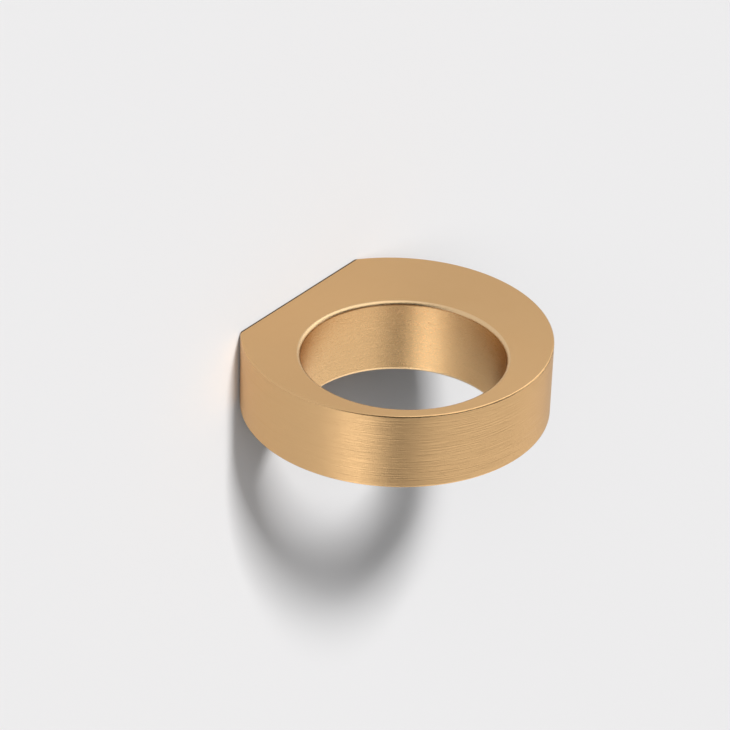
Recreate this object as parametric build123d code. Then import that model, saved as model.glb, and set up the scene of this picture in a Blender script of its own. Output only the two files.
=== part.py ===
from build123d import *
import os
from math import cos, radians, sin, sqrt, tan

# Ring knob for a drawer or cabinet front, in millimetres. It is one piece of solid brass: a disc turned
# from bar, bored off centre for the finger, milled flat where it meets the front, and tapped for one screw
# from behind. The origin is the middle of the mounting flat. X runs along the flat, Y along the finger bore,
# and Z straight out of the front, along the screw.

# Ring
bore_diameter = 26.0       # takes a fingertip
thinnest_wall = 2.0        # ring section at its slimmest
thickest_wall = 12.0       # ring section opposite, before the flat is cut
slim_side_angle = 45.0     # degrees from the screw axis, towards -X, where the ring is slimmest
ring_height = 10.4         # along the bore
back_wall = 6.9            # metal between the flat and the bore, on the screw axis

# Edges
edge_rounding = 0.25       # outer edges, broken by hand
rim_rounding = 0.6         # both rims of the bore, soft to the finger
narrowest_land = 0.3       # flat left between the two roundings on the slimmest wall

# Screw hole, tapped M4
thread_diameter = 4.0
thread_pitch = 0.7
drill_point_angle = 118.0
hole_floor = 1.0           # metal left between the drill's point and the bore, on the screw axis
countersink_lip = 0.2      # how far the countersink opens past the thread, all round

# The ring's two circles, in the X and Z of the frame
bore_radius = bore_diameter / 2
outer_radius = (bore_diameter + thinnest_wall + thickest_wall) / 2
eccentricity = (thickest_wall - thinnest_wall) / 2
bore_x = -eccentricity * sin(radians(slim_side_angle))
bore_z = back_wall + sqrt(bore_radius**2 - bore_x**2)
outer_z = bore_z - eccentricity * cos(radians(slim_side_angle))


def turned_disc():
    """The bar's round slice with the mounting flat milled on it, its outer edges broken."""
    slice_outline = Plane.XZ * Pos(0, outer_z) * Circle(outer_radius)
    disc = extrude(slice_outline, amount=ring_height / 2, both=True)
    disc = split(disc, bisect_by=Plane.XY, keep=Keep.TOP)
    return fillet(disc.edges(), edge_rounding)


def bored_ring(disc):
    """The disc with the finger bore through it and both rims rounded."""
    bore = Plane.XZ * Pos(bore_x, bore_z) * Cylinder(bore_radius, 2 * ring_height)
    ring = disc - bore
    rims = new_edges(disc, bore, combined=ring)
    room_for_rim = thinnest_wall - edge_rounding - narrowest_land
    return fillet(rims, min(rim_rounding, room_for_rim))


def screw_hole():
    """What drill and countersink take out of the flat: a blind hole at the thread's tapping size."""
    drill_radius = (thread_diameter - thread_pitch) / 2
    mouth_radius = thread_diameter / 2 + countersink_lip
    countersink_depth = mouth_radius - drill_radius
    point_z = back_wall - hole_floor
    shoulder_z = point_z - drill_radius / tan(radians(drill_point_angle / 2))
    half_section = Polyline(
        (0, 0),
        (mouth_radius, 0),
        (drill_radius, countersink_depth),
        (drill_radius, shoulder_z),
        (0, point_z),
        close=True,
    )
    return revolve(Plane.XZ * make_face(half_section), Axis.Z)


ring_knob = bored_ring(turned_disc()) - screw_hole()

os.makedirs("parts", exist_ok=True)
export_step(ring_knob, "parts/ring_knob.step")
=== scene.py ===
from math import cos, pi, radians, sin, sqrt, tan

import bpy
from mathutils import Matrix, Vector


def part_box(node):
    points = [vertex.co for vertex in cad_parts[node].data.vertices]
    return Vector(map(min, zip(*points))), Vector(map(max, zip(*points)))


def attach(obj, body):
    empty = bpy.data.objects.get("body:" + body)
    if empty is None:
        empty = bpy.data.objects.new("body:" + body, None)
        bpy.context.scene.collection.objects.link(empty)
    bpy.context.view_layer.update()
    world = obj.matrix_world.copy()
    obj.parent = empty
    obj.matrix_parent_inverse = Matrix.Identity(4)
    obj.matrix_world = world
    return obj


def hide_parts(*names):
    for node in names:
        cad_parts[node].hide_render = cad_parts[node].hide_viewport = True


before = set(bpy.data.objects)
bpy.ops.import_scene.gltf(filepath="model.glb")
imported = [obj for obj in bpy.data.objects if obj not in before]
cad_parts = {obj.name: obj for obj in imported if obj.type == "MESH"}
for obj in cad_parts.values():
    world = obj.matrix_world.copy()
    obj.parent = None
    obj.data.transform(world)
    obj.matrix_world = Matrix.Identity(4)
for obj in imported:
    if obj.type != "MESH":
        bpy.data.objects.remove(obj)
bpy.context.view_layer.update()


# Ring knob
# A disc turned from solid brass bar, bored off centre for the finger and milled flat for the screw.
# Its edges are broken by hand and the bore's rims rounded over. The outside is brushed and the bore has
# a finer satin. The bore's rims are painted paler as a highlight, and a dark line of painted shade
# runs round the flat where it meets the floor.
MM = 0.001
bore_radius = 13.0 * MM
thinnest_wall = 2.0 * MM
thickest_wall = 12.0 * MM
slim_side_angle = radians(45)
back_wall = 6.9 * MM
rim_rounding = 0.6 * MM
edge_rounding = 0.25 * MM
rounding_steps = 8
arc_steps = 288
flat_steps = 64
hole_steps = 64

ring_low, ring_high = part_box("ring_knob")
ring_height = ring_high.y - ring_low.y
outer_radius = bore_radius + (thinnest_wall + thickest_wall) / 2
eccentricity = (thickest_wall - thinnest_wall) / 2
bore_x = -eccentricity * sin(slim_side_angle)
bore_z = back_wall + sqrt(bore_radius**2 - bore_x**2)
outer_z = bore_z - eccentricity * cos(slim_side_angle)

# The hole is cut at the thread's outer size here: the thread's ridge is the next piece.
thread_radius = 2.0 * MM
thread_pitch = 0.7 * MM
tap_radius = thread_radius - thread_pitch / 2
mouth_radius = 2.2 * MM
hole_floor = 1.0 * MM
drill_half_angle = radians(59)
drill_shoulder_z = back_wall - hole_floor - tap_radius / tan(drill_half_angle)


def add(tree, kind, feeds=None, **settings):
    """Adds a node with these settings, its sockets fed by other nodes' outputs or by plain values."""
    node = tree.nodes.new(kind)
    for name, value in settings.items():
        setattr(node, name, value)
    for socket, source in (feeds or {}).items():
        if isinstance(source, bpy.types.NodeSocket):
            tree.links.new(source, node.inputs[socket])
        else:
            node.inputs[socket].default_value = source
    return node


def arithmetic(tree):
    """Short ways to add a tree's sums: on numbers, on vectors, and a vector from its parts."""

    def math(operation, a, b=0.0, c=0.0):
        return add(tree, "ShaderNodeMath", {0: a, 1: b, 2: c}, operation=operation).outputs[0]

    def vector(operation, a, b=(0, 0, 0), result="Vector"):
        return add(tree, "ShaderNodeVectorMath", {0: a, 1: b}, operation=operation).outputs[result]

    def point(x=0.0, y=0.0, z=0.0):
        return add(tree, "ShaderNodeCombineXYZ", {"X": x, "Y": y, "Z": z}).outputs[0]

    return math, vector, point


def ranged(tree, value, low, high, to_low=0.0, to_high=1.0, ease="LINEAR"):
    """The value, spread from one range on to another and held at its ends."""
    span = {"Value": value, "From Min": low, "From Max": high, "To Min": to_low, "To Max": to_high}
    return add(tree, "ShaderNodeMapRange", span, interpolation_type=ease).outputs["Result"]


def sized_tree(name, sizes):
    """A geometry tree with a named input for each size; returns the tree and the sizes' sockets."""
    tree = bpy.data.node_groups.new(name, "GeometryNodeTree")
    tree.interface.new_socket("Geometry", in_out="OUTPUT", socket_type="NodeSocketGeometry")
    for size in sizes:
        tree.interface.new_socket(size, in_out="INPUT", socket_type="NodeSocketFloat")
    return tree, add(tree, "NodeGroupInput").outputs


def close_tree(tree, shape, material):
    """Ends a tree the way the exported model needs it: real geometry, with its material on."""
    real = add(tree, "GeometryNodeRealizeInstances", {"Geometry": shape})
    dressed = add(tree, "GeometryNodeSetMaterial", {"Geometry": real.outputs[0], "Material": material})
    add(tree, "NodeGroupOutput", {"Geometry": dressed.outputs[0]})


def piece_from(name, tree, sizes):
    """An object whose shape the tree makes at these sizes."""
    piece = bpy.data.objects.new(name, bpy.data.meshes.new(name))
    bpy.context.scene.collection.objects.link(piece)
    modifier = piece.modifiers.new(tree.name, "NODES")
    modifier.node_group = tree
    for item in tree.interface.items_tree:
        if item.in_out == "INPUT":
            modifier[item.identifier] = sizes[item.name]
    return piece


def bake(piece):
    """Turns what the piece's modifiers make into its own plain mesh."""
    depsgraph = bpy.context.evaluated_depsgraph_get()
    mesh = bpy.data.meshes.new_from_object(
        piece.evaluated_get(depsgraph), preserve_all_data_layers=True, depsgraph=depsgraph
    )
    piece.modifiers.clear()
    piece.data = mesh
    mesh.name = piece.name


def satin_brass():
    """Brushed brass: lines on the walls, an even satin on the faces, a finer one in the bore."""
    brass_colour = (0.675, 0.43, 0.208, 1)
    # painted highlight: the bore's rims are coloured paler so that they show brighter
    painted_rim_highlight = (0.74, 0.52, 0.29, 1)
    # painted shade: the dark colour of the line round the flat, where it meets the floor
    painted_joint_shade = (0.085, 0.064, 0.047, 1)
    joint_shade_height = 0.36 * MM    # painted shade round the flat, where it meets the floor
    glancing_tint = (0.85, 0.77, 0.69, 1)
    line_frequency = 5500      # brush lines per metre of height, at their coarsest
    run_frequency = 140        # how soon a line fades along its run
    speck_frequency = 8500     # fine tooth between the lines
    wall_specks = 0.24         # share of specks in the grain
    bore_specks = 0.75
    smoothest_grain = 0.33
    roughest_grain = 0.45
    bore_smoothing = 0.10
    edge_roughness = 0.20
    grain_depth = 0.11 * MM
    wall_relief = 0.7          # how much of that depth shows
    bore_relief = 0.46
    face_relief = 0.15
    face_start = 0.995         # steepness of the faces, and where an edge has left them
    face_end = 0.95
    wall_start = 0.05          # steepness of the walls, and where an edge has left them
    wall_end = 0.25
    flat_limit = -0.9          # what faces further down than this is the flat
    mouth_reach = 1.2 * mouth_radius

    material = bpy.data.materials.new("satin_brass")
    material.use_nodes = True
    tree = material.node_tree
    tree.nodes.clear()
    math, vector, _ = arithmetic(tree)

    def blend(factor, a, b):
        sources = {"Factor": factor, "A": a, "B": b}
        return add(tree, "ShaderNodeMix", sources, data_type="FLOAT").outputs[0]

    def blend_colour(factor, a, b):
        sources = {"Factor": factor, 6: a, 7: b}    # the node's two colour sockets
        return add(tree, "ShaderNodeMix", sources, data_type="RGBA").outputs[2]

    # Where on the ring a spot is: in the bore, on a face, on an edge, or at the foot round the flat.
    seat = add(tree, "ShaderNodeTexCoord").outputs
    place = seat["Object"]
    facing = add(tree, "ShaderNodeSeparateXYZ", {0: seat["Normal"]}).outputs
    steep = math("ABSOLUTE", facing["Y"])
    bore_offset = vector("MULTIPLY", vector("SUBTRACT", place, (bore_x, 0, bore_z)), (1, 0, 1))
    bore_distance = vector("LENGTH", bore_offset, result="Value")
    in_bore = math("LESS_THAN", bore_distance, bore_radius + rim_rounding)
    off_wall = ranged(tree, steep, wall_start, wall_end)
    off_face = ranged(tree, steep, face_start, face_end)
    on_edge = math("MULTIPLY", off_wall, off_face)
    on_rim = math("MULTIPLY", on_edge, in_bore)
    # Painted shade: the lowest part of the sides turns dark, round the flat but not on it or in the
    # hole.
    height = add(tree, "ShaderNodeSeparateXYZ", {0: place}).outputs["Z"]
    low = math("LESS_THAN", height, joint_shade_height)
    off_flat = math("GREATER_THAN", facing["Z"], flat_limit)
    screw_distance = vector("LENGTH", vector("MULTIPLY", place, (1, 1, 0)), result="Value")
    off_mouth = math("GREATER_THAN", screw_distance, mouth_reach)
    in_joint_shade = math("MULTIPLY", low, math("MULTIPLY", off_flat, off_mouth))

    # The grain: brush lines stretched round the ring, with specks between them.
    stretched = add(
        tree, "ShaderNodeMapping",
        {"Vector": place, "Scale": (run_frequency, line_frequency, run_frequency)},
    )
    lines = add(
        tree, "ShaderNodeTexNoise",
        {"Vector": stretched.outputs[0], "Scale": 1.0, "Detail": 3.0, "Roughness": 0.6},
    )
    specks = add(
        tree, "ShaderNodeTexNoise",
        {"Vector": place, "Scale": speck_frequency, "Detail": 2.0, "Roughness": 0.55},
    )
    speckle = ranged(tree, in_bore, 0.0, 1.0, wall_specks, bore_specks)
    grain = blend(speckle, lines.outputs["Fac"], specks.outputs["Fac"])
    brushed = ranged(tree, grain, 0.3, 0.7, smoothest_grain, roughest_grain)
    tooth = math("MULTIPLY_ADD", in_bore, -bore_smoothing, brushed)
    wall_strength = ranged(tree, in_bore, 0.0, 1.0, wall_relief, bore_relief)
    strength = ranged(tree, steep, face_start, face_end, face_relief, wall_strength)
    relief = add(
        tree, "ShaderNodeBump",
        {"Height": grain, "Strength": strength, "Distance": grain_depth},
    )
    # Painted highlight: the bore's rims take the paler colour.
    brass_with_rim_highlight = blend_colour(on_rim, brass_colour, painted_rim_highlight)
    surface = add(
        tree, "ShaderNodeBsdfPrincipled",
        {
            "Base Color": blend_colour(in_joint_shade, brass_with_rim_highlight, painted_joint_shade),
            "Metallic": 1.0,
            "Specular Tint": glancing_tint,
            "Roughness": blend(on_edge, tooth, edge_roughness),
            "Anisotropic": 0.5,
            "Anisotropic Rotation": 0.25,
            "Tangent": add(tree, "ShaderNodeTangent", direction_type="RADIAL", axis="Y").outputs[0],
            "Normal": relief.outputs[0],
        },
    )
    add(tree, "ShaderNodeOutputMaterial", {"Surface": surface.outputs[0]})
    return material


def ring_tree(sizes, brass):
    """The ring: a strip swept round the outline, its inner side pressed on to the bore, and drilled."""
    sharp_bend = radians(30)
    mouth_reach = 1.1          # what lies within this share of the mouth or the bore counts as on it
    rim_reach = 1.01
    tree, size = sized_tree("Ring knob", sizes)
    math, vector, point = arithmetic(tree)

    def moved(shape, where):
        return add(tree, "GeometryNodeTransform", {"Geometry": shape, "Translation": where}).outputs[0]

    # The outline, an arc closed by the flat, is drawn lying down and turned upright once it is swept.
    flat_angle = math("ARCSINE", math("DIVIDE", size["Outer Height"], size["Outer Radius"]))
    arc = add(
        tree, "GeometryNodeCurveArc",
        {
            "Resolution": arc_steps,
            "Radius": size["Outer Radius"],
            "Start Angle": math("MULTIPLY", flat_angle, -1.0),
            "Sweep Angle": math("MULTIPLY_ADD", flat_angle, 2.0, pi),
        },
        mode="RADIUS",
    )
    closed = add(tree, "GeometryNodeSetSplineCyclic", {"Geometry": arc.outputs[0], "Cyclic": True})
    at_flat = math("GREATER_THAN", add(tree, "GeometryNodeInputIndex").outputs[0], arc_steps - 1.5)
    stepped = add(
        tree, "GeometryNodeSubdivideCurve",
        {"Curve": closed.outputs[0], "Cuts": math("MULTIPLY", at_flat, flat_steps - 1)},
    )
    outline = add(
        tree, "GeometryNodeSetCurveNormal",
        {"Curve": moved(stepped.outputs[0], point(y=size["Outer Height"]))},
        mode="Z_UP",
    )

    # The strip's outer side follows the outline; its inner side remembers that it goes to the bore.
    strip_width = 0.01 * MM
    strip = add(
        tree, "GeometryNodeCurvePrimitiveQuadrilateral",
        {"Width": strip_width, "Height": size["Ring Height"]},
        mode="RECTANGLE",
    )
    spot = add(tree, "GeometryNodeInputPosition").outputs[0]
    side = add(tree, "ShaderNodeSeparateXYZ", {0: spot}).outputs["X"]
    marked = add(tree, "GeometryNodeCaptureAttribute", domain="POINT")
    marked.capture_items.new("FLOAT", "Side")
    tree.links.new(strip.outputs[0], marked.inputs["Geometry"])
    tree.links.new(side, marked.inputs["Side"])
    swept = add(
        tree, "GeometryNodeCurveToMesh",
        {
            "Curve": outline.outputs[0],
            "Profile Curve": moved(marked.outputs["Geometry"], (-strip_width / 2, 0, 0)),
        },
    )
    bore_axis = point(size["Bore X"], size["Bore Height"], 0.0)
    outward = vector("NORMALIZE", vector("MULTIPLY", vector("SUBTRACT", spot, bore_axis), (1, 1, 0)))
    bore_reach = point(size["Bore Radius"], size["Bore Radius"], 0.0)
    own_height = vector("MULTIPLY", spot, (0, 0, 1))
    from_axis = vector("MULTIPLY", outward, bore_reach)
    on_bore = vector("ADD", vector("ADD", from_axis, bore_axis), own_height)
    bored = add(
        tree, "GeometryNodeSetPosition",
        {
            "Geometry": swept.outputs[0],
            "Selection": math("LESS_THAN", marked.outputs["Side"], 0.0),
            "Position": on_bore,
        },
    )
    upright = add(
        tree, "GeometryNodeTransform",
        {"Geometry": bored.outputs[0], "Rotation": (pi / 2, 0, 0)},
    )

    # Drill, drill point and countersink come up through the flat, which now lies on the ground plane.
    start_below = 1.0 * MM
    drill_length = math("ADD", size["Drill Shoulder"], start_below)
    drill = add(
        tree, "GeometryNodeMeshCylinder",
        {"Vertices": hole_steps, "Radius": size["Thread Radius"], "Depth": drill_length},
    )
    drill_point = add(
        tree, "GeometryNodeMeshCone",
        {
            "Vertices": hole_steps,
            "Radius Top": 0.0,
            "Radius Bottom": size["Thread Radius"],
            "Depth": math("DIVIDE", size["Thread Radius"], tan(drill_half_angle)),
        },
    )
    countersink_reach = math("ADD", size["Mouth Radius"], start_below)
    countersink = add(
        tree, "GeometryNodeMeshCone",
        {
            "Vertices": hole_steps,
            "Radius Top": 0.0,
            "Radius Bottom": countersink_reach,
            "Depth": countersink_reach,
        },
    )
    drilled = add(
        tree, "GeometryNodeMeshBoolean",
        {"Mesh 1": upright.outputs[0]},
        operation="DIFFERENCE",
        solver="EXACT",
    )
    for tool in (
        moved(drill.outputs[0], point(z=math("MULTIPLY_ADD", drill_length, 0.5, -start_below))),
        moved(drill_point.outputs[0], point(z=size["Drill Shoulder"])),
        moved(countersink.outputs[0], (0, 0, -start_below)),
    ):
        tree.links.new(tool, drilled.inputs["Mesh 2"])

    # Sharp edges: the hole's stay crisp, the bore's rims are rounded in full, the outer ones in part.
    bend = add(tree, "GeometryNodeInputMeshEdgeAngle").outputs["Unsigned Angle"]
    sharp = math("GREATER_THAN", bend, sharp_bend)
    screw_distance = vector("LENGTH", vector("MULTIPLY", spot, (1, 1, 0)), result="Value")
    in_hole = math("LESS_THAN", screw_distance, math("MULTIPLY", size["Mouth Radius"], mouth_reach))
    upright_axis = point(size["Bore X"], 0.0, size["Bore Height"])
    level_spot = vector("MULTIPLY", spot, (1, 0, 1))
    bore_distance = vector("DISTANCE", level_spot, upright_axis, result="Value")
    on_rim = math("LESS_THAN", bore_distance, math("MULTIPLY", size["Bore Radius"], rim_reach))
    share = math("MAXIMUM", on_rim, math("DIVIDE", size["Edge Rounding"], size["Rim Rounding"]))
    rounded = math("MULTIPLY", math("MULTIPLY", sharp, share), math("SUBTRACT", 1.0, in_hole))
    weighted = add(
        tree, "GeometryNodeStoreNamedAttribute",
        {"Geometry": drilled.outputs[0], "Name": "bevel_weight_edge", "Value": rounded},
        data_type="FLOAT",
        domain="EDGE",
    )
    kept_sharp = math("MULTIPLY", sharp, in_hole)
    crisp = add(
        tree, "GeometryNodeStoreNamedAttribute",
        {"Geometry": weighted.outputs[0], "Name": "sharp_edge", "Value": kept_sharp},
        data_type="BOOLEAN",
        domain="EDGE",
    )
    smooth = add(
        tree, "GeometryNodeSetShadeSmooth",
        {"Geometry": crisp.outputs[0], "Shade Smooth": True},
    )
    close_tree(tree, smooth.outputs[0], brass)
    return tree


brass = satin_brass()
ring_sizes = {
    "Outer Radius": outer_radius,
    "Outer Height": outer_z,
    "Bore Radius": bore_radius,
    "Bore X": bore_x,
    "Bore Height": bore_z,
    "Ring Height": ring_height,
    "Edge Rounding": edge_rounding,
    "Rim Rounding": rim_rounding,
    "Thread Radius": thread_radius,
    "Drill Shoulder": drill_shoulder_z,
    "Mouth Radius": mouth_radius,
}
ring = piece_from("ring_body", ring_tree(ring_sizes, brass), ring_sizes)
softened = ring.modifiers.new("Rounded edges", "BEVEL")
softened.limit_method = "WEIGHT"
softened.width = rim_rounding
softened.segments = rounding_steps
softened.use_clamp_overlap = False
softened.loop_slide = False
even = ring.modifiers.new("Even shading", "WEIGHTED_NORMAL")
even.keep_sharp = True
bake(ring)
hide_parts("ring_knob")
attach(ring, "root")


# Screw thread
# The ridge that the tap leaves in the screw hole: one right-handed coil of the ring's brass, a
# trapezoid in section, with its roots sunk a little into the hole's wall. It starts above the
# countersink and ends short of the drill's point.
thread_start_z = 0.55 * MM
thread_end_z = drill_shoulder_z - 0.35 * MM
root_half_width = 0.33 * MM
crest_half_width = 0.05 * MM
root_overlap = 0.02 * MM
steps_per_turn = 48


def thread_tree(sizes, brass):
    """The coil: a spiral about the screw's axis with the ridge's section swept along it."""
    tree, size = sized_tree("Screw thread", sizes)
    math, _, point = arithmetic(tree)
    spiral = add(
        tree, "GeometryNodeCurveSpiral",
        {
            "Resolution": steps_per_turn,
            "Rotations": math("DIVIDE", size["Length"], size["Pitch"]),
            "Start Radius": size["Thread Radius"],
            "End Radius": size["Thread Radius"],
            "Height": size["Length"],
            "Reverse": True,
        },
    )
    raised = add(
        tree, "GeometryNodeTransform",
        {"Geometry": spiral.outputs[0], "Translation": point(z=size["Start"])},
    )
    coil = add(tree, "GeometryNodeSetCurveNormal", {"Curve": raised.outputs[0]}, mode="Z_UP")
    crest = math("MULTIPLY", size["Depth"], -1.0)
    section = add(
        tree, "GeometryNodeCurvePrimitiveQuadrilateral",
        {
            "Point 1": point(size["Root Overlap"], size["Root Half Width"]),
            "Point 2": point(crest, size["Crest Half Width"]),
            "Point 3": point(crest, math("MULTIPLY", size["Crest Half Width"], -1.0)),
            "Point 4": point(size["Root Overlap"], math("MULTIPLY", size["Root Half Width"], -1.0)),
        },
        mode="POINTS",
    )
    ridge = add(
        tree, "GeometryNodeCurveToMesh",
        {"Curve": coil.outputs[0], "Profile Curve": section.outputs[0], "Fill Caps": True},
    )
    close_tree(tree, ridge.outputs[0], brass)
    return tree


thread_sizes = {
    "Thread Radius": thread_radius,
    "Depth": thread_radius - tap_radius,
    "Pitch": thread_pitch,
    "Start": thread_start_z,
    "Length": thread_end_z - thread_start_z,
    "Root Half Width": root_half_width,
    "Crest Half Width": crest_half_width,
    "Root Overlap": root_overlap,
}
thread = piece_from("screw_thread", thread_tree(thread_sizes, brass), thread_sizes)
bake(thread)
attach(thread, "root")


# Floor
# A wide, plain board in matt off-white paint. The knob stands on it on its flat, and it takes the
# knob's shadow.
floor_size = 6.0
floor_colour = (0.85, 0.845, 0.85, 1)
floor_roughness = 0.9


def pale_paint():
    """Matt off-white paint, without any gloss."""
    material = bpy.data.materials.new("pale_paint")
    material.use_nodes = True
    surface = material.node_tree.nodes["Principled BSDF"]
    surface.inputs["Base Color"].default_value = floor_colour
    surface.inputs["Roughness"].default_value = floor_roughness
    surface.inputs["Specular IOR Level"].default_value = 0.0
    return material


bpy.ops.mesh.primitive_plane_add(size=floor_size)
floor = bpy.context.object
floor.name = "floor"
floor.data.materials.append(pale_paint())


# Light
# A small bright lamp throws the shadow; a broad soft one and the room lighten it. The brass mirrors
# the room: light below, a dark belt at the knob's own height, a darker gap that runs upright through
# both, a panel overhead, a light side and a window.
key_direction = Vector((-0.320, 0.763, 0.562))
key_width = 19.6
key_height = 12.2
key_level = 155
soft_direction = Vector((-0.637, 0.522, 0.567))
soft_width = 65.0
soft_height = 80.0
soft_level = 2.6
lamp_distance = 100.0
shadow_fill = 0.135
backdrop_level = 0.87
below_level = 1.45
belt_level = 0.12
gap_depth = 0.75
panel_level = 1.4
side_level = 1.3
window_level = 1.7


def pale_room():
    """The room as the brass, the camera and the floor see it; a level of 1 is white."""
    room = bpy.data.worlds.new("pale_room")
    room.use_nodes = True
    tree = room.node_tree
    tree.nodes.clear()
    math, vector, _ = arithmetic(tree)

    def fade(value, low, high, from_level=0.0, to_level=1.0):
        return ranged(tree, value, low, high, from_level, to_level, ease="SMOOTHSTEP")

    # A direction's height is its Y, and its bearing is where it points in the plane of X and Z.
    way = add(tree, "ShaderNodeTexCoord").outputs["Generated"]
    across, up = add(tree, "ShaderNodeSeparateXYZ", {0: way}).outputs[:2]
    bearing = vector("NORMALIZE", vector("MULTIPLY", way, (1, 0, 1)))

    def strip(angle, half_width, clear_half_width):
        """An upright strip of the room: 1 within its clear width and fading to 0 at its edges."""
        middle = (cos(radians(angle)), 0, sin(radians(angle)))
        nearness = vector("DOT_PRODUCT", bearing, middle, result="Value")
        return fade(nearness, cos(radians(half_width)), cos(radians(clear_half_width)))

    belt = fade(up, -0.50, -0.28, below_level, belt_level)
    gap = strip(142, 20, 7)
    panel = math("MULTIPLY", fade(up, 0.52, 0.70), fade(across, -0.55, -0.25))
    side = math("MULTIPLY", fade(across, 0.45, 0.80), fade(up, -0.20, 0.05))
    window = math("MULTIPLY", strip(184, 25, 10), fade(up, 0.10, -0.20))
    mirrored = math("MULTIPLY", belt, math("MULTIPLY_ADD", gap, -gap_depth, 1.0))
    for light, light_level in ((panel, panel_level), (side, side_level), (window, window_level)):
        mirrored = math("MULTIPLY_ADD", light, light_level, mirrored)

    path = add(tree, "ShaderNodeLightPath").outputs
    first_sight = math("LESS_THAN", path["Diffuse Depth"], 0.5)
    through = math("MAXIMUM", path["Is Glossy Ray"], path["Is Transmission Ray"])
    in_metal = math("MULTIPLY", through, first_sight)
    level = math("MULTIPLY_ADD", path["Is Camera Ray"], backdrop_level - shadow_fill, shadow_fill)
    level = math("MULTIPLY_ADD", in_metal, math("SUBTRACT", mirrored, shadow_fill), level)
    surface = add(tree, "ShaderNodeBackground", {"Color": (1, 1, 1, 1), "Strength": level})
    add(tree, "ShaderNodeOutputWorld", {"Surface": surface.outputs[0]})
    room.cycles.sampling_method = "NONE"
    return room


def hang_lamp(name, direction, width, height, level):
    """A far rectangular lamp whose face is this bright; the brass and the camera don't see it."""
    lamp_data = bpy.data.lights.new(name, "AREA")
    lamp_data.shape = "RECTANGLE"
    lamp_data.size = width
    lamp_data.size_y = height
    lamp_data.energy = level * pi * width * height
    lamp = bpy.data.objects.new(name, lamp_data)
    facing = direction.to_track_quat("Z", "Y").to_matrix().to_4x4()
    lamp.matrix_world = Matrix.Translation(direction.normalized() * lamp_distance) @ facing
    lamp.visible_glossy = False
    lamp.visible_camera = False
    bpy.context.scene.collection.objects.link(lamp)


bpy.context.scene.world = pale_room()
hang_lamp("key_lamp", key_direction, key_width, key_height, key_level)
hang_lamp("soft_lamp", soft_direction, soft_width, soft_height, soft_level)


# Camera
# A long lens from above and to the left, turned so that the bore stands upright in the picture.
view_azimuth = radians(-126.49)
view_elevation = radians(29.864)
view_roll = radians(-112.046)
view_distance = 410.25 * MM
view_target = Vector((-2.198, 0.258, 12.531)) * MM
lens_in_pictures = 3200 / 730      # focal length over the picture's width
sensor_width = 36

camera_data = bpy.data.cameras.new("camera")
camera_data.sensor_fit = "HORIZONTAL"
camera_data.sensor_width = sensor_width
camera_data.lens = lens_in_pictures * sensor_width
camera_data.clip_end = 20
camera = bpy.data.objects.new("camera", camera_data)
bpy.context.scene.collection.objects.link(camera)
back = Vector((
    sin(view_azimuth) * cos(view_elevation),
    -cos(view_azimuth) * cos(view_elevation),
    sin(view_elevation),
))
unrolled = back.to_track_quat("Z", "Y").to_matrix().to_4x4()
rolled = unrolled @ Matrix.Rotation(-view_roll, 4, "Z")
camera.matrix_world = Matrix.Translation(view_target + back * view_distance) @ rolled
bpy.context.scene.camera = camera
bpy.context.scene.view_settings.view_transform = "Standard"
